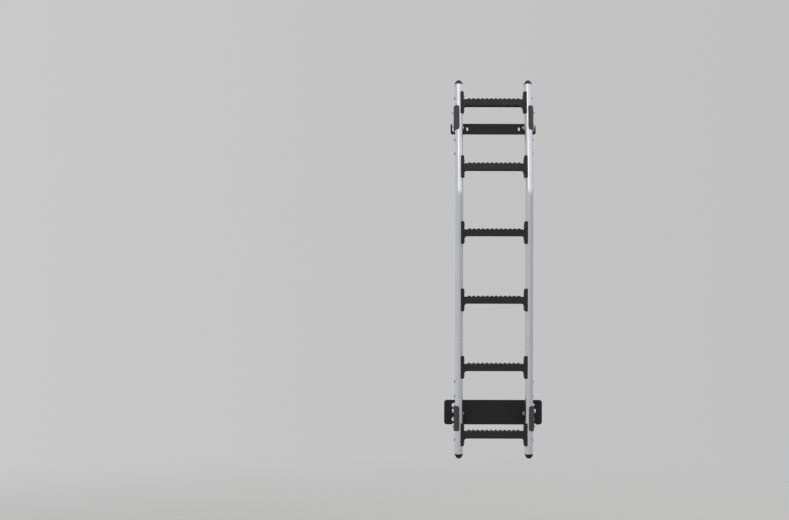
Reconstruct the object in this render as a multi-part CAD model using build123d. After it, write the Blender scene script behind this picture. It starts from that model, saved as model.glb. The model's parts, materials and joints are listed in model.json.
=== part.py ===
from build123d import *

import os
from math import cos, radians, sin, tan

# Climbing ladder that bolts to an upright panel which leans back at the top: two bent aluminium
# stiles, six moulded treads, a wide plate near the foot and a narrow bar near the head. A clamp on
# the outer side of each stile carries the plate and the bar. Millimetres, +Z up, treads face -Y.
# The origin is the centre of the lower plate's back face.

# Stiles: bent tubes of long round-ended section
stile_spacing = 250.0  # between the two centre lines
stile_width = 28.0
stile_depth = 50.0
stile_wall = 2.5
rake = 13.0  # degrees that the head leans back
bend_radius = 100.0  # at the centre line
stile_tail = 55.5  # below the lowest tread's lower edge
stile_head = 83.0  # above the highest tread's lower edge

# Treads: places along the front of the stile
upright_treads = 4
raked_treads = 2
tread_pitch = 240.0
lowest_tread = -88.5  # lower edge, from the plate's centre
bend_above_tread = 154.0  # from the last upright tread's lower edge

# Tread bar
tread_depth = 44.0
tread_height = 25.0  # to the valleys between ridges
ridge_pitch = 16.0
ridge_height = 3.8
ridge_land = 8.0  # plain top at each end
skirt_wall = 3.5
top_wall = 5.0
rear_skirt_rise = 8.0  # the rear skirt and the ribs stop this far above the lower edge
rib_wall = 2.5
rib_pitch = 32.0
gusset_radius = 10.0
nosing_radius = 2.5  # front top edge
heel_radius = 3.0  # rear top edge
skirt_radius = 3.0  # front lower edge

# Saddle flanges at the ends of a tread
flange_wall = 4.8  # from the stile's face
flange_above = 54.5  # from the tread's lower edge
flange_below = 27.2
flange_wrap = 7.2  # how far the flange laps over the stile, seen from the front
flange_heel = 26.0  # rear corners, seen from the side
flange_tip = 2.6
fit_gap = 0.3

# End caps
cap_lip = 0.5  # the cap stands proud of the stile all round
cap_shoulder = 4.0  # height of the upright rim below the sloping sides
cap_rise = 11.5  # height of the sloping sides
cap_crest = 14.0  # width left between the sloping sides
cap_crown = 8.0  # rounding of the crest
cap_round = 2.5  # rounding of the shoulder
cap_wall = 2.5
spigot_length = 16.0

# Lower plate
plate_width = 352.0
plate_height = 88.5
plate_thickness = 4.0
plate_corner = 10.0
plate_hole_radius = 8.0
plate_hole_x = 141.0
plate_hole_z = 25.0
plate_edge = 0.8  # rounding of the edges, on the bar too
lower_standoff = 25.0  # from the plate to the backs of the stiles

# Upper bar
bar_width = 308.0
bar_height = 40.0
bar_thickness = 4.0
bar_corner = 8.0
bar_centre = 249.0  # up the raked part, from the bend
bar_slot_x = 93.5
bar_slot_width = 7.0
bar_slot_height = 14.0
bar_end_slot_x = 141.0
bar_end_slot_width = 14.0
bar_end_slot_height = 22.0
upper_standoff = 6.0  # from the bar to the backs of the stiles

# Clamps: a steel arm over a moulded pad on the outer side of each stile
clamp_height = 90.0
clamp_corner = 12.0
lower_clamp = -17.0  # centre, from the plate's centre
upper_clamp = 276.5  # centre, up the raked part from the bend
arm_thickness = 3.0
arm_front = -8.0  # front edge, from the stile's middle
arm_bend = 17.0  # inside radius behind the stile
foot_bolt_x = 112.0
foot_overhang = 12.0  # past the foot bolt
foot_corner = 8.0
lower_foot_height = 34.0
lower_foot_drop = 4.0  # below the plate's centre
upper_foot_height = 26.0
upper_foot_rise = 3.0  # above the bar's centre
pad_wall = 3.3  # from the stile's face
pad_liner = 1.3  # from the stile's face, under the arm
pad_overlap = 1.6  # past the stile's centre line
pad_corner = 8.5  # at the lip's free edge, seen from the front
pad_round = 1.2
bolt_hole_radius = 4.5

# Spare clamp holes in the outer faces of the stiles
hole_pitch = 52.0
holes_outward = 1  # beyond the clamp, towards the stile's end
holes_inward = 2

# Places that follow from the sizes above
stile_x = stile_spacing / 2
stile_y = -(plate_thickness + lower_standoff + stile_depth / 2)
stile_flat = (stile_depth - stile_width) / 2  # half the flat of the side face
outer_face = stile_x + stile_width / 2
inner_face = stile_x - stile_width / 2
flange_inner = inner_face - flange_wall
flange_edge = inner_face + flange_wrap
lean = radians(rake)
bend_tangent = bend_radius * tan(lean / 2)
front_arc = (bend_radius + stile_depth / 2) * lean
last_upright = lowest_tread + tread_pitch * (upright_treads - 1)
bend_z = last_upright + bend_above_tread
first_raked = tread_pitch - front_arc - (bend_above_tread - bend_tangent) + bend_tangent
last_raked = first_raked + tread_pitch * (raked_treads - 1)
stile_bottom = lowest_tread - stile_tail
stile_top = last_raked + stile_head
arm_inner = outer_face + pad_liner
arm_outer = arm_inner + arm_thickness
pad_front = arm_front - fit_gap
lower_foot = -lower_foot_drop
upper_foot = bar_centre + upper_foot_rise
ladder_reach = plate_width + stile_spacing

# The stiles' middle plane: upright below the bend, leaning above it
upright = Plane(origin=(0, stile_y, 0), x_dir=(1, 0, 0), z_dir=(0, 0, 1))
raked = Plane(origin=(0, stile_y, bend_z), x_dir=(1, 0, 0), z_dir=(0, sin(lean), cos(lean)))


def place(plane, height, shape):
    """Stands a shape on the stiles' middle plane, a given way up it."""
    return plane.location * Pos(0, 0, height) * shape


def left_of(shape):
    """Mirrors a right-hand piece to the left side."""
    return mirror(shape, about=Plane.YZ)


def obround(offset):
    """Section of the right stile, grown outwards by an offset."""
    section = SlotOverall(stile_depth + 2 * offset, stile_width + 2 * offset, rotation=90)
    return Pos(stile_x, 0) * section


def side_outline(front, back, low, high, corner):
    """Prism along X whose outline, seen from the side, is a rectangle with round corners."""
    centre = (0, (front + back) / 2, (low + high) / 2)
    side = Plane(origin=centre, x_dir=(0, 1, 0), z_dir=(1, 0, 0))
    outline = RectangleRounded(back - front, high - low, corner)
    return extrude(side * outline, amount=ladder_reach, both=True)


def front_outline(left, right, low, high, corner):
    """Prism along Y whose outline, seen from the front, is a rectangle with round corners."""
    centre = ((left + right) / 2, 0, (low + high) / 2)
    outline = RectangleRounded(right - left, high - low, corner)
    return Pos(centre) * extrude(Plane.XZ * outline, amount=ladder_reach, both=True)


def round_ended(x, width, height, reach):
    """Prism along Y whose outline, seen from the front, is upright with round ends."""
    outline = Pos(x, 0) * SlotOverall(height, width, rotation=90)
    return extrude(Plane.XZ * outline, amount=reach, both=True)


def stile_room():
    """The right stile's straight length with the fit's gap round it."""
    return extrude(obround(fit_gap), amount=tread_pitch, both=True)


def cross_hole(x, height, radius, length):
    """Round hole along X through a side wall at the stile's middle."""
    return Pos(x, 0, height) * Rot(0, 90, 0) * Cylinder(radius, length)


def clamp_bolts():
    """Heights of a clamp's two bolts, from its centre."""
    return (-hole_pitch / 2, hole_pitch / 2)


# Stiles


def stile_path():
    """Centre line of the right stile: straight, bent back, straight."""
    start = upright.from_local_coords((stile_x, 0, stile_bottom))
    bend_start = upright.from_local_coords((stile_x, 0, bend_z - bend_tangent))
    bend_end = raked.from_local_coords((stile_x, 0, bend_tangent))
    end = raked.from_local_coords((stile_x, 0, stile_top))
    bend = TangentArc(bend_start, bend_end, tangent=(0, 0, 1))
    return Line(start, bend_start) + bend + Line(bend_end, end)


def hole_heights(centre, outward):
    """Heights of a row of clamp holes; outward is +1 towards the head and -1 towards the foot."""
    first = -hole_pitch / 2 - holes_inward * hole_pitch
    count = holes_outward + holes_inward + 2
    return [centre + outward * (first + hole_pitch * i) for i in range(count)]


def right_stile():
    """Bent tube with two rows of clamp holes in its outer face."""
    section = obround(0) - obround(-stile_wall)
    tube = sweep(place(upright, stile_bottom, section), path=stile_path())
    wall_middle = outer_face - stile_wall / 2
    hole = cross_hole(wall_middle, 0, bolt_hole_radius, 3 * stile_wall)
    for height in hole_heights(lower_clamp, -1):
        tube -= place(upright, height, hole)
    for height in hole_heights(upper_clamp, 1):
        tube -= place(raked, height, hole)
    return tube


def right_cap():
    """Plug with sloping sides that stands on a stile's end, crest up."""
    run = (stile_width + 2 * cap_lip - cap_crest) / 2
    head = extrude(obround(cap_lip), amount=cap_shoulder + cap_rise)
    top = head.faces().sort_by(Axis.Z)[-1]
    head = chamfer(top.edges(), run, cap_rise, reference=top)
    head = fillet(head.faces().sort_by(Axis.Z)[-1].edges(), cap_crown)
    shoulder = head.edges().filter_by_position(Axis.Z, cap_shoulder - fit_gap, cap_shoulder + fit_gap)
    head = fillet(shoulder, cap_round)
    spigot_offset = -stile_wall - fit_gap
    spigot = extrude(obround(spigot_offset), amount=-spigot_length)
    hollow = extrude(obround(spigot_offset - cap_wall), amount=spigot_length + cap_shoulder)
    return head + spigot - Pos(0, 0, -spigot_length) * hollow


# Treads


def ridged_top(half_length):
    """Top edge of the bar from left to right: round ridges with round valleys between plain ends."""
    count = int((2 * flange_inner - 2 * ridge_land) // ridge_pitch)
    quarter = ridge_pitch / 4
    middle = tread_height + ridge_height / 2
    crest = tread_height + ridge_height
    start = -count * ridge_pitch / 2
    edges = [Line((-half_length, tread_height), (start, tread_height))]
    edges.append(TangentArc((start, tread_height), (start + quarter, middle), tangent=(1, 0)))
    for i in range(count):
        x = start + ridge_pitch * (i + 0.5)
        edges.append(ThreePointArc((x - quarter, middle), (x, crest), (x + quarter, middle)))
        if i < count - 1:
            valley = (x + 2 * quarter, tread_height)
            edges.append(ThreePointArc((x + quarter, middle), valley, (x + 3 * quarter, middle)))
    last = TangentArc((-start, tread_height), (-start - quarter, middle), tangent=(-1, 0))
    return edges + [last, Line((-start, tread_height), (half_length, tread_height))]


def bar_outline():
    """Front outline of the bar: ridges on top, and a gusset under each end."""
    ends = stile_x
    root = flange_inner - gusset_radius
    edges = ridged_top(ends)
    for side in (-1, 1):
        low = (side * ends, -gusset_radius)
        edges.append(Line((side * ends, tread_height), low))
        edges.append(Line(low, (side * flange_inner, -gusset_radius)))
        gusset = TangentArc((side * root, 0), (side * flange_inner, -gusset_radius), tangent=(side, 0))
        edges.append(gusset)
    edges.append(Line((-root, 0), (root, 0)))
    return make_face(edges)


def rounded_bar():
    """The solid bar with its long edges rounded."""
    bar = extrude(Plane.XZ * bar_outline(), amount=tread_depth / 2, both=True)
    front_edges = bar.faces().sort_by(Axis.Y)[0].edges()
    between_flanges = front_edges.filter_by_position(Axis.X, -flange_inner, flange_inner)
    bar = fillet(between_flanges.filter_by_position(Axis.Z, -gusset_radius, skirt_radius), skirt_radius)
    low = -gusset_radius
    high = tread_height + ridge_height + fit_gap
    side = Plane(origin=(0, 0, (low + high) / 2), x_dir=(0, 1, 0), z_dir=(1, 0, 0))
    outline = Rectangle(tread_depth, high - low)
    outline = fillet(outline.vertices().group_by(Axis.Y)[-1].sort_by(Axis.X)[0], nosing_radius)
    outline = fillet(outline.vertices().group_by(Axis.Y)[-1].sort_by(Axis.X)[-1], heel_radius)
    return bar & extrude(side * outline, amount=ladder_reach, both=True)


def underside():
    """Hollow behind the front skirt: cells between ribs, open below, with a shallower rear skirt."""
    length = 2 * flange_inner
    inside = tread_depth - 2 * skirt_wall
    columns = int((length + rib_wall) // rib_pitch)
    cell_pitch = (length + rib_wall) / columns
    cell_depth = (inside - rib_wall) / 2
    cell_height = tread_height - top_wall - rear_skirt_rise
    cell = Box(cell_pitch - rib_wall, cell_depth, cell_height, align=(Align.CENTER, Align.CENTER, Align.MIN))
    cells = GridLocations(cell_pitch, cell_depth + rib_wall, columns, 2) * cell
    mouth = front_outline(-flange_inner, flange_inner, -tread_height, rear_skirt_rise, gusset_radius)
    mouth &= Pos(0, skirt_wall, 0) * Box(length, tread_depth, ladder_reach)
    return Pos(0, 0, rear_skirt_rise) * (Part() + list(cells)) + mouth


def right_flange():
    """Saddle on the front and inner side of the right stile, before the stile's room is cut from it."""
    reach = stile_depth + 2 * flange_wall
    kept = Rectangle(reach, 2 * reach, align=(Align.MAX, Align.CENTER))
    profile = obround(flange_wall) & Pos(flange_edge, 0) * kept
    profile = fillet(profile.vertices().group_by(Axis.X)[-1], flange_tip)
    saddle = Pos(0, 0, -flange_below) * extrude(profile, amount=flange_below + flange_above)
    saddle &= side_outline(-reach, stile_flat, -flange_below, flange_above, flange_heel)
    centre = (flange_inner + flange_edge) / 2
    ends = round_ended(centre, flange_edge - flange_inner, flange_above + flange_below, ladder_reach)
    return saddle & Pos(0, 0, (flange_above - flange_below) / 2) * ends


def tread():
    """One moulded tread, standing on its lower edge at the stiles' middle."""
    bar = rounded_bar() - underside()
    flange = right_flange()
    room = stile_room()
    return bar + flange + left_of(flange) - room - left_of(room)


# Brackets


def face_hole(x, height, radius, thickness):
    """Round hole along Y through a plate that lies in the XZ plane."""
    return Pos(x, 0, height) * Rot(90, 0, 0) * Cylinder(radius, 4 * thickness)


def flat_plate(width, height, thickness, corner):
    """Plate in the XZ plane with round corners and edges, and its front face at Y 0."""
    plate = extrude(Plane.XZ * RectangleRounded(width, height, corner), amount=-thickness)
    rims = plate.faces().filter_by(Axis.Y).edges()
    return fillet(rims, plate_edge)


def lower_bracket_plate():
    """Wide plate with four fixing holes and a bolt hole for each clamp arm."""
    plate = flat_plate(plate_width, plate_height, plate_thickness, plate_corner)
    for side in (-1, 1):
        for height in (-plate_hole_z, plate_hole_z):
            plate -= face_hole(side * plate_hole_x, height, plate_hole_radius, plate_thickness)
        plate -= face_hole(side * foot_bolt_x, lower_foot, bolt_hole_radius, plate_thickness)
    return Pos(0, stile_depth / 2 + lower_standoff, 0) * plate


def upper_bracket_bar():
    """Narrow bar with two fixing slots, a slot at each end and a bolt hole for each clamp arm."""
    bar = flat_plate(bar_width, bar_height, bar_thickness, bar_corner)
    for side in (-1, 1):
        bar -= round_ended(side * bar_slot_x, bar_slot_width, bar_slot_height, 2 * bar_thickness)
        bar -= round_ended(side * bar_end_slot_x, bar_end_slot_width, bar_end_slot_height, 2 * bar_thickness)
        bar -= face_hole(side * foot_bolt_x, upper_foot_rise, bolt_hole_radius, bar_thickness)
    return Pos(0, stile_depth / 2 + upper_standoff, 0) * bar


# Clamps


def right_arm(standoff, foot_centre, foot_height):
    """Steel arm: a leg on the pad and a strip that turns in behind the stile to its foot."""
    front_face = stile_depth / 2 + standoff
    leg_room = side_outline(arm_front, stile_flat, -clamp_height / 2, clamp_height / 2, stile_flat / 2)
    leg = leg_room & Pos(arm_inner, 0, 0) * Box(
        arm_thickness, ladder_reach, ladder_reach, align=(Align.MIN, Align.CENTER, Align.CENTER)
    )
    foot_end = foot_bolt_x - foot_overhang
    back_face = front_face - arm_thickness
    corners = [
        (arm_outer, 0),
        (arm_outer, front_face),
        (foot_end, front_face),
        (foot_end, back_face),
        (arm_inner, back_face),
        (arm_inner, 0),
    ]
    strip = make_face(Polyline(*corners, close=True))
    outer = strip.vertices().sort_by_distance((arm_outer, front_face))[0]
    strip = fillet(outer, arm_bend + arm_thickness)
    inner = strip.vertices().sort_by_distance((arm_inner, back_face))[0]
    strip = fillet(inner, arm_bend)
    foot = Pos(0, 0, foot_centre - foot_height / 2) * extrude(strip, amount=foot_height)
    foot = fillet(foot.edges().filter_by(Axis.Y).group_by(Axis.X)[0], foot_corner)
    foot_hole = face_hole(foot_bolt_x, foot_centre, bolt_hole_radius, arm_thickness)
    arm = leg + foot - Pos(0, front_face, 0) * foot_hole
    for height in clamp_bolts():
        arm -= cross_hole(arm_inner, height, bolt_hole_radius, 4 * arm_thickness)
    return arm


def right_pad():
    """Moulded pad: a thick lip round the stile's outer front corner and a liner under the arm."""
    reach = stile_depth + 2 * pad_wall
    kept = Pos(stile_x, pad_front) * Rectangle(reach, reach, align=(Align.CENTER, Align.MAX))
    half_height = clamp_height / 2
    lip = extrude(obround(pad_wall) & kept, amount=half_height, both=True)
    free_edge = stile_x - pad_overlap
    lip &= front_outline(free_edge, free_edge + reach, -half_height, half_height, pad_corner)
    skin = lip.faces().filter_by(GeomType.CYLINDER).sort_by(Axis.Y)[0]
    flank = lip.faces().sort_by(Axis.X)[-1]
    rims = skin.edges() + flank.edges()
    upright_rims = rims.filter_by(Axis.Z).sort_by(Axis.X)
    lip = fillet(rims - upright_rims[1:], pad_round)
    liner_centre = (outer_face + (fit_gap + pad_liner) / 2, (pad_front + stile_flat) / 2, 0)
    liner = Pos(liner_centre) * Box(pad_liner - fit_gap, stile_flat - pad_front, clamp_height)
    liner = fillet(liner.edges().filter_by(Axis.X).group_by(Axis.Y)[-1], clamp_corner)
    pad = lip - stile_room() + liner
    for height in clamp_bolts():
        pad -= cross_hole(outer_face, height, bolt_hole_radius, 4 * pad_wall)
    return pad


def right_side():
    """The pieces of the right-hand side, each with its name."""
    lower_arm = right_arm(lower_standoff, lower_foot - lower_clamp, lower_foot_height)
    upper_arm = right_arm(upper_standoff, upper_foot - upper_clamp, upper_foot_height)
    return {
        "stile": right_stile(),
        "bottom_cap": place(upright, stile_bottom, Rot(180, 0, 0) * right_cap()),
        "top_cap": place(raked, stile_top, right_cap()),
        "lower_clamp_arm": place(upright, lower_clamp, lower_arm),
        "lower_clamp_pad": place(upright, lower_clamp, right_pad()),
        "upper_clamp_arm": place(raked, upper_clamp, upper_arm),
        "upper_clamp_pad": place(raked, upper_clamp, right_pad()),
    }


def all_treads():
    """The treads from the lowest up, on the upright part and then on the raked part."""
    step = tread()
    upright_steps = [place(upright, lowest_tread + tread_pitch * i, step) for i in range(upright_treads)]
    raked_steps = [place(raked, first_raked + tread_pitch * i, step) for i in range(raked_treads)]
    return {f"tread_{i}": one for i, one in enumerate(upright_steps + raked_steps, start=1)}


def ladder():
    """Every piece of the ladder by name, in place."""
    pieces = {
        "lower_bracket_plate": place(upright, 0, lower_bracket_plate()),
        "upper_bracket_bar": place(raked, bar_centre, upper_bracket_bar()),
    }
    for name, shape in right_side().items():
        pieces[f"right_{name}"] = shape
        pieces[f"left_{name}"] = left_of(shape)
    return pieces | all_treads()


os.makedirs("parts", exist_ok=True)
for name, shape in ladder().items():
    export_step(shape, f"parts/{name}.step")
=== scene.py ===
"""Looks of a bolt-on climbing ladder: finishes for its pieces, its fasteners, and a plain studio."""

import json
import logging
import math
from dataclasses import dataclass
from enum import Enum
from typing import Dict, List, Sequence, Tuple, Union

import bmesh
import bpy
from mathutils import Matrix, Vector

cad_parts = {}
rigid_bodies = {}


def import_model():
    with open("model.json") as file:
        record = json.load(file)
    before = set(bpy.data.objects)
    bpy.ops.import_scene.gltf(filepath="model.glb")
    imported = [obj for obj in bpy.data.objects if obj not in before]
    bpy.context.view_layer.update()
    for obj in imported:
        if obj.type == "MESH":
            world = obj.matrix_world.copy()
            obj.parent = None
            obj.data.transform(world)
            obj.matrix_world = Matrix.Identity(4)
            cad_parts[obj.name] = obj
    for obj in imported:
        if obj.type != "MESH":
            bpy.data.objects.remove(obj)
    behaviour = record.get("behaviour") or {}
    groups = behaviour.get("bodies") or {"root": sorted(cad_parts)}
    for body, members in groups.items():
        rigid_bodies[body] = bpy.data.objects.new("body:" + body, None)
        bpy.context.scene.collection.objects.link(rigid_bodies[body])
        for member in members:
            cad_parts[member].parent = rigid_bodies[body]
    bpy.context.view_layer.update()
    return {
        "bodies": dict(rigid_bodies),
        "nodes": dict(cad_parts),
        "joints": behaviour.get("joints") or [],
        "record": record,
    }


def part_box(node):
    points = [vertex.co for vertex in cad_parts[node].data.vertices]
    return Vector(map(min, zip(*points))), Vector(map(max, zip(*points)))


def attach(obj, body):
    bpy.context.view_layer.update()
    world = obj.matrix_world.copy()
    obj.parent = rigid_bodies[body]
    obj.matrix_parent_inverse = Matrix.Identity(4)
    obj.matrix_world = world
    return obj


LOG = logging.getLogger("ladder")
BODY = "root"
MM = 0.001
MERGE_DISTANCE = 0.001 * MM
SHARP_ANGLE = math.radians(32.0)

Colour = Tuple[float, float, float, float]
Point = Tuple[float, float, float]
Pair = Tuple[float, float]
Feed = Union[bpy.types.NodeSocket, float, Colour, Point]

WHOLE: Pair = (0.0, 1.0)
EVERY_DIRECTION: Pair = (-1.0, 1.0)
FLATTEN: Point = (1.0, 1.0, 0.0)


class Side(Enum):
    """The two sides of the ladder, with the sign of X there."""

    LEFT = -1
    RIGHT = 1

    @property
    def word(self) -> str:
        """The word that starts a node's name on this side."""
        return self.name.lower()


class Level(Enum):
    """The two brackets."""

    LOWER = "lower"
    UPPER = "upper"


class MixSocket(Enum):
    """Places of the colour sockets on a Mix node."""

    FIRST = 6
    SECOND = 7
    RESULT = 2


# Where things are


@dataclass(frozen=True)
class LadderLine:
    """Middle plane of the stiles, and the places along it. Metres.

    Local X is across the ladder, local Y goes back through the stile and local Z up along it.
    """

    stile_y: float = -54.0 * MM
    bend_height: float = 785.5 * MM
    rake: float = math.radians(13.0)
    lowest_tread: float = -88.5 * MM
    first_raked_tread: float = 80.4 * MM
    tread_pitch: float = 240.0 * MM
    upright_treads: int = 4
    lower_clamp: float = -17.0 * MM
    upper_clamp: float = 276.5 * MM
    bolt_pitch: float = 52.0 * MM
    holes_outward: int = 1
    holes_inward: int = 2

    def upright(self) -> Matrix:
        """Frame of the upright part, with its origin level with the lower plate's centre."""
        return Matrix.Translation((0.0, self.stile_y, 0.0))

    def raked(self) -> Matrix:
        """Frame of the part that leans back, with its origin at the bend."""
        corner = Matrix.Translation((0.0, self.stile_y, self.bend_height))
        return corner @ Matrix.Rotation(-self.rake, 4, "X")

    def clamp(self, level: Level) -> Matrix:
        """Frame of a clamp's centre.

        Args:
            level: The bracket that the clamp carries.

        Returns:
            The frame, with its origin on the stiles' middle plane.
        """
        if level is Level.LOWER:
            return self.upright() @ Matrix.Translation((0.0, 0.0, self.lower_clamp))
        return self.raked() @ Matrix.Translation((0.0, 0.0, self.upper_clamp))

    def tread(self, number: int) -> Matrix:
        """Frame of a tread's lower edge, on the stiles' middle plane.

        Args:
            number: The tread, counted from 0 at the foot.

        Returns:
            The frame, turned with the stile there.
        """
        if number < self.upright_treads:
            height = self.lowest_tread + self.tread_pitch * number
            return self.upright() @ Matrix.Translation((0.0, 0.0, height))
        height = self.first_raked_tread + self.tread_pitch * (number - self.upright_treads)
        return self.raked() @ Matrix.Translation((0.0, 0.0, height))

    def clamp_bolts(self) -> Pair:
        """Heights of a clamp's two bolts, from its centre."""
        return (-self.bolt_pitch / 2, self.bolt_pitch / 2)

    def spare_holes(self, level: Level) -> List[float]:
        """Heights of the spare clamp holes, from the clamp's centre.

        Args:
            level: The bracket beside which the holes are.

        Returns:
            The heights, outward hole first.
        """
        outward = -1 if level is Level.LOWER else 1
        edge = self.bolt_pitch / 2
        outer = [edge + self.bolt_pitch * (i + 1) for i in range(self.holes_outward)]
        inner = [-edge - self.bolt_pitch * (i + 1) for i in range(self.holes_inward)]
        return [outward * height for height in outer + inner]


def facing(side: Side) -> Matrix:
    """Turn that points local +Z outwards from a stile's outer face.

    Args:
        side: The side of the ladder.

    Returns:
        The turn about the Y axis.
    """
    return Matrix.Rotation(side.value * math.pi / 2, 4, "Y")


# Mesh helpers


def turned(profile: Sequence[Pair], steps: int) -> bmesh.types.BMesh:
    """Spins a half section round the Z axis into a closed solid.

    Args:
        profile: Radius and height of each corner, in order along the section.
        steps: Number of sides.

    Returns:
        A new bmesh, with its faces pointing outwards.
    """
    solid = bmesh.new()
    corners = [solid.verts.new((radius, 0.0, height)) for radius, height in profile]
    edges = [solid.edges.new(pair) for pair in zip(corners, corners[1:])]
    bmesh.ops.spin(
        solid,
        geom=corners + edges,
        axis=(0.0, 0.0, 1.0),
        cent=(0.0, 0.0, 0.0),
        angle=2 * math.pi,
        steps=steps,
        use_merge=True,
        use_duplicate=False,
    )
    bmesh.ops.remove_doubles(solid, verts=solid.verts, dist=MERGE_DISTANCE)
    bmesh.ops.dissolve_degenerate(solid, dist=MERGE_DISTANCE, edges=solid.edges)
    bmesh.ops.recalc_face_normals(solid, faces=solid.faces)
    return solid


def arc_points(centre: Pair, radius: float, start: float, end: float, steps: int) -> List[Pair]:
    """Points along an arc of a half section.

    Args:
        centre: Radius and height of the arc's centre.
        radius: Radius of the arc.
        start: First angle from the outward direction, in radians.
        end: Last angle.
        steps: Number of spans.

    Returns:
        The points from start to end.
    """
    angles = [start + (end - start) * i / steps for i in range(steps + 1)]
    return [(centre[0] + radius * math.cos(a), centre[1] + radius * math.sin(a)) for a in angles]


class PieceMesh:
    """Gathers small solids into one piece of the ladder."""

    def __init__(self, name: str) -> None:
        """Starts an empty piece.

        Args:
            name: The piece's name.
        """
        self.name = name
        self.gathered = bmesh.new()

    def add(self, solid: bmesh.types.BMesh, place: Matrix) -> None:
        """Moves a solid to its place and joins it to the piece.

        Args:
            solid: A bmesh at the origin, which is freed.
            place: Where it goes.
        """
        bmesh.ops.transform(solid, matrix=place, verts=solid.verts)
        carrier = bpy.data.meshes.new(self.name + "_carrier")
        solid.to_mesh(carrier)
        solid.free()
        self.gathered.from_mesh(carrier)
        bpy.data.meshes.remove(carrier)

    def finish(self, material: bpy.types.Material) -> bpy.types.Object:
        """Makes the piece an object that rides on the ladder.

        Args:
            material: The finish of the whole piece.

        Returns:
            The new object, at the origin.
        """
        for face in self.gathered.faces:
            face.smooth = True
        for edge in self.gathered.edges:
            edge.smooth = edge.calc_face_angle(math.pi) < SHARP_ANGLE
        mesh = bpy.data.meshes.new(self.name)
        self.gathered.to_mesh(mesh)
        self.gathered.free()
        mesh.materials.append(material)
        made = bpy.data.objects.new(self.name, mesh)
        bpy.context.scene.collection.objects.link(made)
        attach(made, BODY)
        LOG.info("%s: %d faces, %s", self.name, len(mesh.polygons), material.name)
        return made


# Node wiring


@dataclass
class Wiring:
    """Adds nodes to one node tree and joins them."""

    tree: bpy.types.NodeTree

    def node(self, kind: str, **settings: object) -> bpy.types.Node:
        """Adds a node.

        Args:
            kind: The node's type.
            **settings: Properties to set on it.

        Returns:
            The new node.
        """
        made = self.tree.nodes.new(kind)
        for key, value in settings.items():
            setattr(made, key, value)
        return made

    def feed(self, target: bpy.types.NodeSocket, value: Feed) -> None:
        """Joins a socket to an input, or writes a plain value on it.

        Args:
            target: The input.
            value: A socket, or the value itself.
        """
        if isinstance(value, bpy.types.NodeSocket):
            self.tree.links.new(value, target)
        else:
            target.default_value = value

    def math(self, operation: str, first: Feed, second: Feed = 0.0) -> bpy.types.NodeSocket:
        """Adds a Math node.

        Args:
            operation: Its operation.
            first: First operand.
            second: Second operand.

        Returns:
            The result.
        """
        step = self.node("ShaderNodeMath", operation=operation)
        self.feed(step.inputs[0], first)
        self.feed(step.inputs[1], second)
        return step.outputs[0]

    def remap(self, value: Feed, source: Pair, target: Pair = WHOLE) -> bpy.types.NodeSocket:
        """Maps a range to another, clamped and eased at both ends.

        Args:
            value: What is mapped.
            source: Low and high value that come in.
            target: Low and high value that go out.

        Returns:
            The mapped value.
        """
        step = self.node("ShaderNodeMapRange", interpolation_type="SMOOTHSTEP")
        self.feed(step.inputs["Value"], value)
        step.inputs["From Min"].default_value = source[0]
        step.inputs["From Max"].default_value = source[1]
        step.inputs["To Min"].default_value = target[0]
        step.inputs["To Max"].default_value = target[1]
        return step.outputs["Result"]

    def blend(self, share: Feed, first: Feed, second: Feed) -> bpy.types.NodeSocket:
        """Mixes two colours.

        Args:
            share: 0 for the first colour, 1 for the second.
            first: First colour.
            second: Second colour.

        Returns:
            The mixed colour.
        """
        mix = self.node("ShaderNodeMix", data_type="RGBA")
        self.feed(mix.inputs["Factor"], share)
        self.feed(mix.inputs[MixSocket.FIRST.value], first)
        self.feed(mix.inputs[MixSocket.SECOND.value], second)
        return mix.outputs[MixSocket.RESULT.value]

    def noise(self, vector: Feed, scale: Feed, detail: float, rough: float = 0.5) -> bpy.types.NodeSocket:
        """Adds a noise texture.

        Args:
            vector: Where it is read.
            scale: Bumps to the metre.
            detail: Octaves.
            rough: How much the finer octaves show.

        Returns:
            Its value, about 0.5 in the middle.
        """
        texture = self.node("ShaderNodeTexNoise")
        self.feed(texture.inputs["Vector"], vector)
        self.feed(texture.inputs["Scale"], scale)
        texture.inputs["Detail"].default_value = detail
        texture.inputs["Roughness"].default_value = rough
        return texture.outputs[0]

    def place(self) -> bpy.types.NodeSocket:
        """Place on the piece, in metres."""
        return self.node("ShaderNodeTexCoord").outputs["Object"]

    def bump(self, height: Feed, distance: float, strength: float, normal: Feed) -> bpy.types.NodeSocket:
        """Adds a Bump node.

        Args:
            height: Height over the surface.
            distance: Real height of the relief, in metres.
            strength: How much of it shows.
            normal: The normal that it starts from.

        Returns:
            The bumped normal.
        """
        relief = self.node("ShaderNodeBump")
        relief.inputs["Strength"].default_value = strength
        relief.inputs["Distance"].default_value = distance
        self.feed(relief.inputs["Height"], height)
        self.feed(relief.inputs["Normal"], normal)
        return relief.outputs["Normal"]

    def use(self, group: bpy.types.NodeTree, **values: float) -> bpy.types.Node:
        """Places a shared effect.

        Args:
            group: The effect's node group.
            **values: Its inputs by name, with spaces written as underscores.

        Returns:
            The group node.
        """
        placed = self.node("ShaderNodeGroup")
        placed.node_tree = group
        for key, value in values.items():
            placed.inputs[key.replace("_", " ")].default_value = value
        return placed


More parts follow.
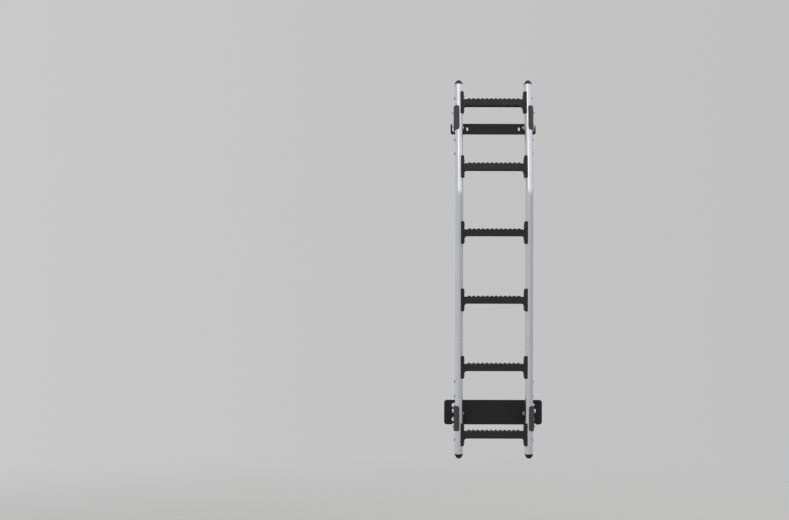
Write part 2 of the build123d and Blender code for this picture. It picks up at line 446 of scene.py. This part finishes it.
class SharedEffect:
    """A shader node group that several finishes use, built once."""

    name: str = ""
    inputs: Tuple[str, ...] = ()
    outputs: Dict[str, str] = {}

    def group(self) -> bpy.types.NodeTree:
        """The effect's node group, built the first time.

        Returns:
            The group.
        """
        found = bpy.data.node_groups.get(self.name)
        if found:
            return found
        tree = bpy.data.node_groups.new(self.name, "ShaderNodeTree")
        for label in self.inputs:
            tree.interface.new_socket(name=label, in_out="INPUT", socket_type="NodeSocketFloat")
        for label, kind in self.outputs.items():
            tree.interface.new_socket(name=label, in_out="OUTPUT", socket_type=kind)
        wiring = Wiring(tree)
        entry = wiring.node("NodeGroupInput")
        leave = wiring.node("NodeGroupOutput")
        for label, socket in self.wire(wiring, entry).items():
            wiring.feed(leave.inputs[label], socket)
        return tree

    def wire(self, wiring: Wiring, entry: bpy.types.Node) -> Dict[str, bpy.types.NodeSocket]:
        """Makes the effect's nodes.

        Args:
            wiring: The group's wiring.
            entry: The group's input node.

        Returns:
            A socket for each output.
        """
        raise NotImplementedError


class EdgeRounding(SharedEffect):
    """Rounds sharp edges a little, and finds where handling rubs them."""

    name = "edge_rounding"
    inputs = ("Radius", "Break Scale")
    outputs = {"Normal": "NodeSocketVector", "Rubbed": "NodeSocketFloat"}
    samples = 8
    turn_shown = (0.02, 0.22)
    break_detail = 3.0
    break_shown = (0.42, 0.66)
    break_kept = (0.15, 1.0)

    def wire(self, wiring: Wiring, entry: bpy.types.Node) -> Dict[str, bpy.types.NodeSocket]:
        """Compares the rounded normal with the plain one.

        Args:
            wiring: The group's wiring.
            entry: The group's input node.

        Returns:
            A socket for each output.
        """
        rounded = wiring.node("ShaderNodeBevel", samples=self.samples)
        wiring.feed(rounded.inputs["Radius"], entry.outputs["Radius"])
        plain = wiring.node("ShaderNodeNewGeometry").outputs["Normal"]
        turn = wiring.node("ShaderNodeVectorMath", operation="DOT_PRODUCT")
        wiring.feed(turn.inputs[0], rounded.outputs["Normal"])
        wiring.feed(turn.inputs[1], plain)
        away = wiring.math("SUBTRACT", 1.0, turn.outputs["Value"])
        edge = wiring.remap(away, self.turn_shown)
        patches = wiring.noise(wiring.place(), entry.outputs["Break Scale"], self.break_detail)
        broken = wiring.remap(patches, self.break_shown, self.break_kept)
        rubbed = wiring.math("MULTIPLY", edge, broken)
        return {"Normal": rounded.outputs["Normal"], "Rubbed": rubbed}


class Grain(SharedEffect):
    """Fine moulded or sprayed grain: rounded cells with a softer swell between them."""

    name = "grain"
    inputs = ("Scale",)
    outputs = {"Height": "NodeSocketFloat", "Fleck": "NodeSocketFloat"}
    swell_detail = 2.0
    swell_share = 0.45

    def wire(self, wiring: Wiring, entry: bpy.types.Node) -> Dict[str, bpy.types.NodeSocket]:
        """Adds cells to a soft swell.

        Args:
            wiring: The group's wiring.
            entry: The group's input node.

        Returns:
            A socket for each output.
        """
        place = wiring.place()
        cells = wiring.node("ShaderNodeTexVoronoi", feature="SMOOTH_F1")
        wiring.feed(cells.inputs["Vector"], place)
        wiring.feed(cells.inputs["Scale"], entry.outputs["Scale"])
        swell = wiring.noise(place, entry.outputs["Scale"], self.swell_detail)
        domes = wiring.math("SUBTRACT", 1.0, cells.outputs["Distance"])
        height = wiring.math("ADD", domes, wiring.math("MULTIPLY", swell, self.swell_share))
        return {"Height": height, "Fleck": swell}


class Handling(SharedEffect):
    """Broad patches from handling, and dust that settles on faces that look up."""

    name = "handling"
    inputs = ("Patch Scale",)
    outputs = {"Patch": "NodeSocketFloat", "Dust": "NodeSocketFloat"}
    patch_detail = 4.0
    patch_rough = 0.6
    patch_shown = (0.34, 0.68)
    dust_facing = (0.55, 0.98)
    dust_scale = 240.0
    dust_detail = 5.0
    dust_rough = 0.7
    dust_shown = (0.36, 0.72)

    def wire(self, wiring: Wiring, entry: bpy.types.Node) -> Dict[str, bpy.types.NodeSocket]:
        """Reads noise for the patches, and the face's lean for dust.

        Args:
            wiring: The group's wiring.
            entry: The group's input node.

        Returns:
            A socket for each output.
        """
        place = wiring.place()
        patch = wiring.noise(place, entry.outputs["Patch Scale"], self.patch_detail, self.patch_rough)
        normal = wiring.node("ShaderNodeNewGeometry").outputs["Normal"]
        parts = wiring.node("ShaderNodeSeparateXYZ")
        wiring.feed(parts.inputs[0], normal)
        level = wiring.remap(parts.outputs["Z"], self.dust_facing)
        specks = wiring.noise(place, self.dust_scale, self.dust_detail, self.dust_rough)
        return {
            "Patch": wiring.remap(patch, self.patch_shown),
            "Dust": wiring.math("MULTIPLY", level, wiring.remap(specks, self.dust_shown)),
        }


# Finishes


def start_material(name: str) -> Tuple[bpy.types.Material, Wiring, bpy.types.Node]:
    """Starts a material with only its shader and output.

    Args:
        name: The material's name.

    Returns:
        The material, its wiring and its Principled shader.
    """
    material = bpy.data.materials.new(name)
    material.use_nodes = True
    material.node_tree.nodes.clear()
    wiring = Wiring(material.node_tree)
    shader = wiring.node("ShaderNodeBsdfPrincipled")
    output = wiring.node("ShaderNodeOutputMaterial")
    wiring.feed(output.inputs["Surface"], shader.outputs["BSDF"])
    return material, wiring, shader


@dataclass(frozen=True)
class SatinAluminium:
    """Anodised extruded aluminium: drawn lines along the stile under a soft satin sheen."""

    line: LadderLine
    name: str = "satin_aluminium"
    bright: Colour = (0.785, 0.79, 0.825, 1.0)
    dull: Colour = (0.675, 0.68, 0.72, 1.0)
    smooth: float = 0.20
    rough: float = 0.33
    line_scale: float = 900.0
    line_stretch: float = 0.004
    line_detail: float = 4.0
    line_rough: float = 0.65
    line_shown: Pair = (0.3, 0.7)
    line_share: float = 0.65
    line_relief: float = 0.02 * MM
    line_strength: float = 0.5
    patch_scale: float = 9.0
    patch_share: float = 0.35
    edge_radius: float = 0.6 * MM
    edge_break: float = 60.0

    def across(self, wiring: Wiring) -> bpy.types.NodeSocket:
        """Place across the stile's section, so that the lines follow its bend.

        Args:
            wiring: The material's wiring.

        Returns:
            A vector: across, through, and a little of the way along.
        """
        parts = wiring.node("ShaderNodeSeparateXYZ")
        wiring.feed(parts.inputs[0], wiring.place())
        back = wiring.math("SUBTRACT", parts.outputs["Y"], self.line.stile_y)
        above = wiring.math("SUBTRACT", parts.outputs["Z"], self.line.bend_height)
        level = wiring.math("MULTIPLY", back, math.cos(self.line.rake))
        fall = wiring.math("MULTIPLY", above, math.sin(self.line.rake))
        through = wiring.math("MINIMUM", back, wiring.math("SUBTRACT", level, fall))
        joined = wiring.node("ShaderNodeCombineXYZ")
        wiring.feed(joined.inputs["X"], parts.outputs["X"])
        wiring.feed(joined.inputs["Y"], through)
        wiring.feed(joined.inputs["Z"], wiring.math("MULTIPLY", parts.outputs["Z"], self.line_stretch))
        return joined.outputs["Vector"]

    def material(self) -> bpy.types.Material:
        """Builds the finish.

        Returns:
            The new material.
        """
        material, wiring, shader = start_material(self.name)
        edge = wiring.use(EdgeRounding().group(), Radius=self.edge_radius, Break_Scale=self.edge_break)
        handling = wiring.use(Handling().group(), Patch_Scale=self.patch_scale)
        lines = wiring.noise(self.across(wiring), self.line_scale, self.line_detail, self.line_rough)
        tone = wiring.remap(lines, self.line_shown)
        drawn = wiring.math("MULTIPLY", tone, self.line_share)
        worn = wiring.math("MULTIPLY", handling.outputs["Patch"], self.patch_share)
        share = wiring.math("ADD", drawn, worn)
        wiring.feed(shader.inputs["Base Color"], wiring.blend(share, self.bright, self.dull))
        wiring.feed(shader.inputs["Roughness"], wiring.remap(share, WHOLE, (self.smooth, self.rough)))
        shader.inputs["Metallic"].default_value = 1.0
        normal = wiring.bump(lines, self.line_relief, self.line_strength, edge.outputs["Normal"])
        wiring.feed(shader.inputs["Normal"], normal)
        return material


@dataclass(frozen=True)
class MouldedPlastic:
    """Filled black or grey plastic with a moulded grain, rubbed a little on its edges."""

    name: str
    colour: Colour
    rubbed: Colour
    dust: Colour = (0.16, 0.155, 0.148, 1.0)
    dust_share: float = 0.05
    smooth: float = 0.42
    rough: float = 0.60
    specular: float = 0.22
    grain_scale: float = 750.0
    grain_relief: float = 0.06 * MM
    grain_strength: float = 0.45
    fleck_shown: Pair = (0.35, 0.75)
    fleck_share: Pair = (0.0, 0.35)
    edge_radius: float = 0.9 * MM
    edge_break: float = 90.0
    edge_share: float = 0.8
    patch_scale: float = 22.0

    def material(self) -> bpy.types.Material:
        """Builds the finish.

        Returns:
            The new material.
        """
        material, wiring, shader = start_material(self.name)
        edge = wiring.use(EdgeRounding().group(), Radius=self.edge_radius, Break_Scale=self.edge_break)
        grain = wiring.use(Grain().group(), Scale=self.grain_scale)
        handling = wiring.use(Handling().group(), Patch_Scale=self.patch_scale)
        fleck = wiring.remap(grain.outputs["Fleck"], self.fleck_shown, self.fleck_share)
        bared = wiring.math("MULTIPLY", edge.outputs["Rubbed"], self.edge_share)
        plain = wiring.blend(wiring.math("MAXIMUM", fleck, bared), self.colour, self.rubbed)
        settled = wiring.math("MULTIPLY", handling.outputs["Dust"], self.dust_share)
        wiring.feed(shader.inputs["Base Color"], wiring.blend(settled, plain, self.dust))
        polish = wiring.math("MAXIMUM", edge.outputs["Rubbed"], handling.outputs["Patch"])
        wiring.feed(shader.inputs["Roughness"], wiring.remap(polish, WHOLE, (self.rough, self.smooth)))
        shader.inputs["Specular IOR Level"].default_value = self.specular
        normal = wiring.bump(
            grain.outputs["Height"], self.grain_relief, self.grain_strength, edge.outputs["Normal"]
        )
        wiring.feed(shader.inputs["Normal"], normal)
        return material


@dataclass(frozen=True)
class PowderCoat:
    """Black powder coat on steel: a fine orange-peel skin, a little thin and bright on its edges."""

    name: str = "black_powder_coat"
    colour: Colour = (0.038, 0.038, 0.0375, 1.0)
    fleck: Colour = (0.050, 0.050, 0.049, 1.0)
    edge: Colour = (0.062, 0.062, 0.062, 1.0)
    dust: Colour = (0.15, 0.145, 0.14, 1.0)
    dust_share: float = 0.04
    smooth: float = 0.40
    rough: float = 0.58
    specular: float = 0.10
    peel_scale: float = 420.0
    peel_relief: float = 0.05 * MM
    peel_strength: float = 0.4
    fleck_shown: Pair = (0.4, 0.7)
    fleck_share: Pair = (0.0, 0.7)
    edge_radius: float = 0.7 * MM
    edge_break: float = 70.0
    edge_share: float = 0.7
    patch_scale: float = 14.0

    def material(self) -> bpy.types.Material:
        """Builds the finish.

        Returns:
            The new material.
        """
        material, wiring, shader = start_material(self.name)
        edge = wiring.use(EdgeRounding().group(), Radius=self.edge_radius, Break_Scale=self.edge_break)
        peel = wiring.use(Grain().group(), Scale=self.peel_scale)
        handling = wiring.use(Handling().group(), Patch_Scale=self.patch_scale)
        specks = wiring.remap(peel.outputs["Fleck"], self.fleck_shown, self.fleck_share)
        flecked = wiring.blend(specks, self.colour, self.fleck)
        thinned = wiring.math("MULTIPLY", edge.outputs["Rubbed"], self.edge_share)
        edged = wiring.blend(thinned, flecked, self.edge)
        settled = wiring.math("MULTIPLY", handling.outputs["Dust"], self.dust_share)
        wiring.feed(shader.inputs["Base Color"], wiring.blend(settled, edged, self.dust))
        dulled = wiring.remap(handling.outputs["Patch"], WHOLE, (self.smooth, self.rough))
        wiring.feed(shader.inputs["Roughness"], dulled)
        shader.inputs["Specular IOR Level"].default_value = self.specular
        normal = wiring.bump(
            peel.outputs["Height"], self.peel_relief, self.peel_strength, edge.outputs["Normal"]
        )
        wiring.feed(shader.inputs["Normal"], normal)
        return material


@dataclass(frozen=True)
class PlatedSteel:
    """Bright plated steel of the fasteners, a little mottled."""

    name: str = "bright_plated_steel"
    bright: Colour = (0.78, 0.785, 0.79, 1.0)
    mottle: Colour = (0.60, 0.60, 0.59, 1.0)
    smooth: float = 0.18
    rough: float = 0.38
    mottle_scale: float = 420.0
    mottle_shown: Pair = (0.3, 0.7)
    relief: float = 0.02 * MM
    relief_strength: float = 0.3
    edge_radius: float = 0.3 * MM
    edge_break: float = 300.0
    edge_share: float = 0.5

    def material(self) -> bpy.types.Material:
        """Builds the finish.

        Returns:
            The new material.
        """
        material, wiring, shader = start_material(self.name)
        edge = wiring.use(EdgeRounding().group(), Radius=self.edge_radius, Break_Scale=self.edge_break)
        grain = wiring.use(Grain().group(), Scale=self.mottle_scale)
        dull = wiring.remap(grain.outputs["Fleck"], self.mottle_shown)
        polished = wiring.math("MULTIPLY", edge.outputs["Rubbed"], self.edge_share)
        kept = wiring.math("SUBTRACT", dull, polished)
        wiring.feed(shader.inputs["Base Color"], wiring.blend(kept, self.bright, self.mottle))
        wiring.feed(shader.inputs["Roughness"], wiring.remap(dull, WHOLE, (self.smooth, self.rough)))
        shader.inputs["Metallic"].default_value = 1.0
        normal = wiring.bump(
            grain.outputs["Height"], self.relief, self.relief_strength, edge.outputs["Normal"]
        )
        wiring.feed(shader.inputs["Normal"], normal)
        return material


TREAD_PLASTIC = MouldedPlastic(
    "tread_plastic", colour=(0.034, 0.034, 0.0345, 1.0), rubbed=(0.060, 0.060, 0.060, 1.0)
)
CAP_PLASTIC = MouldedPlastic(
    "cap_plastic",
    colour=(0.024, 0.024, 0.0245, 1.0),
    rubbed=(0.048, 0.048, 0.048, 1.0),
    smooth=0.34,
    rough=0.48,
)
PAD_PLASTIC = MouldedPlastic(
    "pad_plastic", colour=(0.088, 0.0885, 0.091, 1.0), rubbed=(0.12, 0.12, 0.12, 1.0)
)
# Foot-bolt steel: the same plated steel, rougher, with its colour painted darker as shade for the shadow
# that the foot bolts sit in between stile and plate.
FOOT_STEEL_PAINTED_SHADE = PlatedSteel(
    "plated_steel_painted_shade",
    bright=(0.44, 0.44, 0.445, 1.0),
    mottle=(0.32, 0.32, 0.32, 1.0),
    smooth=0.36,
    rough=0.52,
)


# Fasteners


@dataclass(frozen=True)
class HexBolt:
    """Bolt with a six-sided head on a plain washer, standing on Z 0 with its axis along Z."""

    across_flats: float = 13.0 * MM
    head_height: float = 4.6 * MM
    chamfer: float = 0.9 * MM
    chamfer_steps: int = 3
    washer_radius: float = 8.4 * MM
    washer_bore: float = 4.2 * MM
    washer_thickness: float = 1.2 * MM
    washer_edge: float = 0.35 * MM
    shank_radius: float = 4.0 * MM
    shank_length: float = 6.0 * MM
    sides: int = 40

    def washer(self) -> bmesh.types.BMesh:
        """Makes a ring whose outer rims are cut back.

        Returns:
            The washer, on Z 0.
        """
        edge = self.washer_edge
        top = self.washer_thickness
        rim = self.washer_radius
        section = [
            (self.washer_bore, 0.0),
            (rim - edge, 0.0),
            (rim, edge),
            (rim, top - edge),
            (rim - edge, top),
            (self.washer_bore, top),
            (self.washer_bore, 0.0),
        ]
        return turned(section, self.sides)

    def hexagon(self) -> bmesh.types.BMesh:
        """Makes the six-sided head, rounded round its top.

        Returns:
            The head, on top of the washer.
        """
        head = bmesh.new()
        corner = self.across_flats / math.sqrt(3)
        middle = Matrix.Translation((0.0, 0.0, self.washer_thickness + self.head_height / 2))
        bmesh.ops.create_cone(
            head,
            cap_ends=True,
            cap_tris=False,
            segments=6,
            radius1=corner,
            radius2=corner,
            depth=self.head_height,
            matrix=middle,
        )
        top = max(head.faces, key=lambda face: face.calc_center_median().z)
        bmesh.ops.bevel(
            head,
            geom=list(top.edges),
            offset=self.chamfer,
            offset_type="OFFSET",
            segments=self.chamfer_steps,
            profile=0.5,
            affect="EDGES",
            material=-1,
        )
        return head

    def shank(self) -> bmesh.types.BMesh:
        """Makes the part of the bolt that goes down through the hole.

        Returns:
            The shank, under Z 0.
        """
        low = -self.shank_length
        radius = self.shank_radius
        edge = self.washer_edge
        section = [(0.0, low), (radius - edge, low), (radius, low + edge), (radius, 0.0), (0.0, 0.0)]
        return turned(section, self.sides)

    def add_to(self, piece: PieceMesh, place: Matrix) -> None:
        """Puts one bolt in a piece.

        Args:
            piece: The piece that gathers the bolts.
            place: Where the washer's underside goes.
        """
        for solid in (self.washer(), self.hexagon(), self.shank()):
            piece.add(solid, place)


@dataclass(frozen=True)
class HolePlug:
    """Push-in plug with a domed head, standing on Z 0."""

    rim_radius: float = 6.2 * MM
    rim_height: float = 0.9 * MM
    dome_height: float = 2.6 * MM
    stem_radius: float = 4.2 * MM
    stem_length: float = 5.0 * MM
    dome_steps: int = 6
    sides: int = 32

    def add_to(self, piece: PieceMesh, place: Matrix) -> None:
        """Puts one plug in a piece.

        Args:
            piece: The piece that gathers the plugs.
            place: Where the underside of the rim goes.
        """
        rise = self.dome_height - self.rim_height
        radius = (self.rim_radius**2 + rise**2) / (2 * rise)
        centre = (0.0, self.dome_height - radius)
        start = math.asin((self.rim_height - centre[1]) / radius)
        dome = arc_points(centre, radius, start, math.pi / 2, self.dome_steps)
        low = -self.stem_length
        stem = [(0.0, low), (self.stem_radius, low), (self.stem_radius, 0.0)]
        section = stem + [(self.rim_radius, 0.0)] + dome
        piece.add(turned(section, self.sides), place)


@dataclass(frozen=True)
class ButtonScrew:
    """Low round-headed screw with a socket in its crown, standing on Z 0."""

    head_radius: float = 4.4 * MM
    head_height: float = 1.9 * MM
    crown_radius: float = 2.6 * MM
    socket_rim: float = 0.9 * MM
    socket_depth: float = 1.2 * MM
    dome_steps: int = 5
    sides: int = 24

    def section(self) -> List[Pair]:
        """Draws half of the head: a flat underside, a rounded flank and a flat crown.

        Returns:
            Radius and height of each corner.
        """
        fall = self.head_radius - self.crown_radius
        quarter = arc_points((0.0, 0.0), 1.0, 0.0, math.pi / 2, self.dome_steps)
        flank = [(self.crown_radius + fall * out, self.head_height * up) for out, up in quarter]
        return [(0.0, 0.0)] + flank + [(0.0, self.head_height)]

    def add_to(self, piece: PieceMesh, place: Matrix) -> None:
        """Puts one screw in a piece.

        Args:
            piece: The piece that gathers the screws.
            place: Where the underside of the head goes.
        """
        head = turned(self.section(), self.sides)
        below_crown = self.head_height - MERGE_DISTANCE
        crown = [face for face in head.faces if face.calc_center_median().z > below_crown]
        flat = bmesh.ops.dissolve_faces(head, faces=crown)["region"]
        bmesh.ops.inset_region(head, faces=flat, thickness=self.socket_rim)
        sunk = bmesh.ops.extrude_face_region(head, geom=flat)
        floor = [item for item in sunk["geom"] if isinstance(item, bmesh.types.BMVert)]
        bmesh.ops.translate(head, vec=(0.0, 0.0, -self.socket_depth), verts=floor)
        bmesh.ops.delete(head, geom=flat, context="FACES_ONLY")
        bmesh.ops.recalc_face_normals(head, faces=head.faces)
        piece.add(head, place)


FOOT_BOLT = HexBolt(head_height=4.4 * MM, washer_radius=7.4 * MM)


@dataclass
class ClampFasteners:
    """Bolts, foot bolts and hole plugs of the four clamps."""

    line: LadderLine
    metal: bpy.types.Material
    # Painted shade: a darker copy of the bolt steel, for the foot bolts in the shadow between stile and
    # plate.
    metal_painted_shade: bpy.types.Material
    plastic: bpy.types.Material
    bolt: HexBolt
    foot_bolt: HexBolt
    plug: HolePlug
    stile_x: float = 125.0 * MM
    stile_half_width: float = 14.0 * MM
    stile_half_depth: float = 25.0 * MM
    plate_gap: float = 25.0 * MM
    bar_gap: float = 6.0 * MM
    foot_thickness: float = 3.0 * MM
    foot_bolt_x: float = 112.0 * MM
    plate_bolt_height: float = -4.0 * MM
    bar_bolt_height: float = 252.0 * MM
    foot_bolt_turn: float = math.pi / 6

    def foot_place(self, level: Level, side: Side) -> Matrix:
        """Where a foot bolt's washer sits on the front of a clamp arm's foot.

        Args:
            level: The bracket.
            side: The side of the ladder.

        Returns:
            The washer's frame, with +Z to the front.
        """
        if level is Level.LOWER:
            frame, gap, height = self.line.upright(), self.plate_gap, self.plate_bolt_height
        else:
            frame, gap, height = self.line.raked(), self.bar_gap, self.bar_bolt_height
        front = self.stile_half_depth + gap - self.foot_thickness
        seat = Matrix.Translation((side.value * self.foot_bolt_x, front, height))
        forwards = Matrix.Rotation(math.pi / 2, 4, "X")
        return frame @ seat @ forwards @ Matrix.Rotation(self.foot_bolt_turn, 4, "Z")

    def build(self) -> None:
        """Builds every clamp's fasteners."""
        for level in Level:
            for side in Side:
                self.build_clamp(level, side)

    def build_clamp(self, level: Level, side: Side) -> None:
        """Builds the fasteners of one clamp.

        Args:
            level: The bracket that the clamp carries.
            side: The side of the ladder.
        """
        stem = f"{side.word}_{level.value}"
        low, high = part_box(f"{stem}_clamp_arm")
        arm_face = high.x if side is Side.RIGHT else low.x
        stile_face = side.value * (self.stile_x + self.stile_half_width)
        clamp = self.line.clamp(level)
        bolts = PieceMesh(f"{stem}_clamp_bolts")
        for height in self.line.clamp_bolts():
            self.bolt.add_to(bolts, clamp @ Matrix.Translation((arm_face, 0.0, height)) @ facing(side))
        bolts.finish(self.metal)
        foot = PieceMesh(f"{stem}_foot_bolt")
        self.foot_bolt.add_to(foot, self.foot_place(level, side))
        # The foot bolt takes the darker steel, which is painted shade for its place in shadow.
        foot.finish(self.metal_painted_shade)
        plugs = PieceMesh(f"{stem}_hole_plugs")
        for height in self.line.spare_holes(level):
            self.plug.add_to(plugs, clamp @ Matrix.Translation((stile_face, 0.0, height)) @ facing(side))
        plugs.finish(self.plastic)


@dataclass
class TreadScrews:
    """Screws that hold the treads' flanges to the stiles, above and below each bar."""

    line: LadderLine
    metal: bpy.types.Material
    screw: ButtonScrew
    flange_inner: float = 106.2 * MM
    heights: Pair = (-15.0 * MM, 41.0 * MM)
    forward: float = 4.0 * MM

    def build(self, treads: Sequence[str]) -> None:
        """Builds the screws of each tread.

        Args:
            treads: The treads' node names.
        """
        for number, name in enumerate(treads):
            foot = self.line.tread(number)
            screws = PieceMesh(f"{name}_screws")
            for side in Side:
                inwards = facing(side).inverted()
                for height in self.heights:
                    seat = Matrix.Translation((side.value * self.flange_inner, -self.forward, height))
                    self.screw.add_to(screws, foot @ seat @ inwards)
            screws.finish(self.metal)


@dataclass
class LadderFinishes:
    """Gives each solid of the ladder its finish, by the kind of piece."""

    stile: bpy.types.Material
    tread: bpy.types.Material
    cap: bpy.types.Material
    pad: bpy.types.Material
    steel: bpy.types.Material

    def finish_of(self, node: str) -> bpy.types.Material:
        """Picks the finish of a solid.

        Args:
            node: The solid's node name.

        Returns:
            Its material.
        """
        kinds = {"stile": self.stile, "tread": self.tread, "cap": self.cap, "pad": self.pad}
        for word, material in kinds.items():
            if word in node:
                return material
        return self.steel

    def dress(self, nodes: Dict[str, bpy.types.Object]) -> None:
        """Dresses every solid.

        Args:
            nodes: The solids by node name.
        """
        for name, solid in sorted(nodes.items()):
            material = self.finish_of(name)
            solid.data.materials.clear()
            solid.data.materials.append(material)
            LOG.info("%s: %s", name, material.name)


# Studio


def seen_directly(wiring: Wiring) -> bpy.types.NodeSocket:
    """Mask of the rays that look at the studio itself, from the camera or in a reflection.

    Args:
        wiring: The wiring of a stage material or of the world.

    Returns:
        1 for such rays and 0 for the light that the studio throws.
    """
    path = wiring.node("ShaderNodeLightPath")
    shiny = wiring.math("MAXIMUM", path.outputs["Is Glossy Ray"], path.outputs["Is Transmission Ray"])
    return wiring.math("MAXIMUM", path.outputs["Is Camera Ray"], shiny)


@dataclass(frozen=True)
class Studio:
    """Pale surroundings: an even backdrop, a floor with a soft shadow and a wide light overhead."""

    backdrop: Colour = (0.55, 0.55, 0.55, 1.0)
    floor_colour: Colour = (0.60, 0.60, 0.595, 1.0)
    floor_rough: float = 0.9
    floor_specular: float = 0.1
    floor_height: float = -0.62
    floor_radius: float = 6.0
    floor_sides: int = 128
    floor_fade: Pair = (1.6, 4.6)
    below: Colour = (0.06, 0.06, 0.06, 1.0)
    horizon: Pair = (-0.25, 0.05)
    left_to_right: Pair = (1.16, 0.86)
    canopy_place: Point = (3.2, 0.0, 3.2)
    canopy_size: Pair = (13.8, 17.0)
    canopy_glow: float = 0.31
    key_place: Point = (-1.5, -4.35, 3.4)
    key_target: Point = (0.0, 0.0, 1.0)
    key_size: Pair = (0.4, 1.6)
    key_glow: float = 2.2
    watts_per_glow: float = 4.0

    def build(self) -> None:
        """Builds the backdrop, the floor and the lights."""
        self.surround()
        self.floor()
        over = (self.canopy_place[0], self.canopy_place[1], 0.0)
        self.panel("canopy", self.canopy_place, over, self.canopy_size, self.canopy_glow)
        self.panel("key", self.key_place, self.key_target, self.key_size, self.key_glow)

    def surround(self) -> None:
        """Sets a plain backdrop, a little brighter on the left, which throws less light from below."""
        world = bpy.data.worlds.new("backdrop")
        world.use_nodes = True
        wiring = Wiring(world.node_tree)
        glow = world.node_tree.nodes["Background"]
        parts = wiring.node("ShaderNodeSeparateXYZ")
        wiring.feed(parts.inputs[0], wiring.node("ShaderNodeTexCoord").outputs["Generated"])
        above = wiring.remap(parts.outputs["Z"], self.horizon)
        shown = wiring.math("MAXIMUM", above, seen_directly(wiring))
        wiring.feed(glow.inputs["Color"], wiring.blend(shown, self.below, self.backdrop))
        strength = wiring.remap(parts.outputs["X"], EVERY_DIRECTION, self.left_to_right)
        wiring.feed(glow.inputs["Strength"], strength)
        bpy.context.scene.world = world

    def floor(self) -> None:
        """Lays a pale disc that fades into the backdrop."""
        disc = bmesh.new()
        level = Matrix.Translation((0.0, 0.0, self.floor_height))
        bmesh.ops.create_circle(
            disc, cap_ends=True, segments=self.floor_sides, radius=self.floor_radius, matrix=level
        )
        mesh = bpy.data.meshes.new("floor")
        disc.to_mesh(mesh)
        disc.free()
        mesh.materials.append(self.floor_finish())
        made = bpy.data.objects.new("floor", mesh)
        bpy.context.scene.collection.objects.link(made)

    def floor_finish(self) -> bpy.types.Material:
        """Matt floor that turns clear towards its rim, and is clear from below.

        Returns:
            The new material.
        """
        material, wiring, shader = start_material("floor")
        colour = wiring.blend(seen_directly(wiring), self.below, self.floor_colour)
        wiring.feed(shader.inputs["Base Color"], colour)
        shader.inputs["Roughness"].default_value = self.floor_rough
        shader.inputs["Specular IOR Level"].default_value = self.floor_specular
        flat = wiring.node("ShaderNodeVectorMath", operation="MULTIPLY")
        wiring.feed(flat.inputs[0], wiring.place())
        flat.inputs[1].default_value = FLATTEN
        far = wiring.node("ShaderNodeVectorMath", operation="LENGTH")
        wiring.feed(far.inputs[0], flat.outputs["Vector"])
        shown = wiring.remap(far.outputs["Value"], self.floor_fade, (1.0, 0.0))
        under = wiring.node("ShaderNodeNewGeometry").outputs["Backfacing"]
        kept = wiring.math("SUBTRACT", 1.0, under)
        wiring.feed(shader.inputs["Alpha"], wiring.math("MULTIPLY", shown, kept))
        return material

    def panel(self, name: str, place: Point, target: Point, size: Pair, glow: float) -> None:
        """Hangs a soft light.

        Args:
            name: The light's name.
            place: Its centre.
            target: The point that it faces.
            size: Width and height.
            glow: How bright its face is, where 1 is white.
        """
        light = bpy.data.lights.new(name, "AREA")
        light.shape = "RECTANGLE"
        light.size = size[0]
        light.size_y = size[1]
        light.energy = glow * self.watts_per_glow * size[0] * size[1]
        hung = bpy.data.objects.new(name, light)
        hung.location = place
        hung.rotation_euler = (Vector(target) - Vector(place)).to_track_quat("-Z", "Y").to_euler()
        hung.visible_camera = False
        bpy.context.scene.collection.objects.link(hung)


@dataclass(frozen=True)
class Viewpoint:
    """Level camera in front of the ladder and to its left."""

    place: Point = (-0.3556, -6.579, 0.5467)
    roll: float = -0.0022
    lens: float = 83.4
    sensor: float = 36.0

    def build(self) -> None:
        """Makes the scene's camera."""
        camera = bpy.data.cameras.new("camera")
        camera.lens = self.lens
        camera.sensor_width = self.sensor
        stand = bpy.data.objects.new("camera", camera)
        stand.location = self.place
        stand.rotation_euler = (math.pi / 2, self.roll, 0.0)
        bpy.context.scene.collection.objects.link(stand)
        bpy.context.scene.camera = stand


def treads_of(nodes: Dict[str, bpy.types.Object]) -> List[str]:
    """Names of the treads, lowest first.

    Args:
        nodes: The solids by node name.

    Returns:
        The names.
    """
    return [name for name in sorted(nodes) if name.startswith("tread_")]


def main() -> None:
    """Dresses the ladder, adds its fasteners and sets up the studio."""
    logging.basicConfig(level=logging.INFO, format="%(name)s: %(message)s")
    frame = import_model()
    bpy.context.scene.view_settings.view_transform = "Standard"
    line = LadderLine()
    bright_metal = PlatedSteel().material()
    cap_plastic = CAP_PLASTIC.material()
    finishes = LadderFinishes(
        stile=SatinAluminium(line).material(),
        tread=TREAD_PLASTIC.material(),
        cap=cap_plastic,
        pad=PAD_PLASTIC.material(),
        steel=PowderCoat().material(),
    )
    finishes.dress(frame["nodes"])
    fasteners = ClampFasteners(
        line=line,
        metal=bright_metal,
        metal_painted_shade=FOOT_STEEL_PAINTED_SHADE.material(),
        plastic=cap_plastic,
        bolt=HexBolt(),
        foot_bolt=FOOT_BOLT,
        plug=HolePlug(),
    )
    fasteners.build()
    TreadScrews(line, bright_metal, ButtonScrew()).build(treads_of(frame["nodes"]))
    Studio().build()
    Viewpoint().build()


if __name__ == "__main__":
    main()
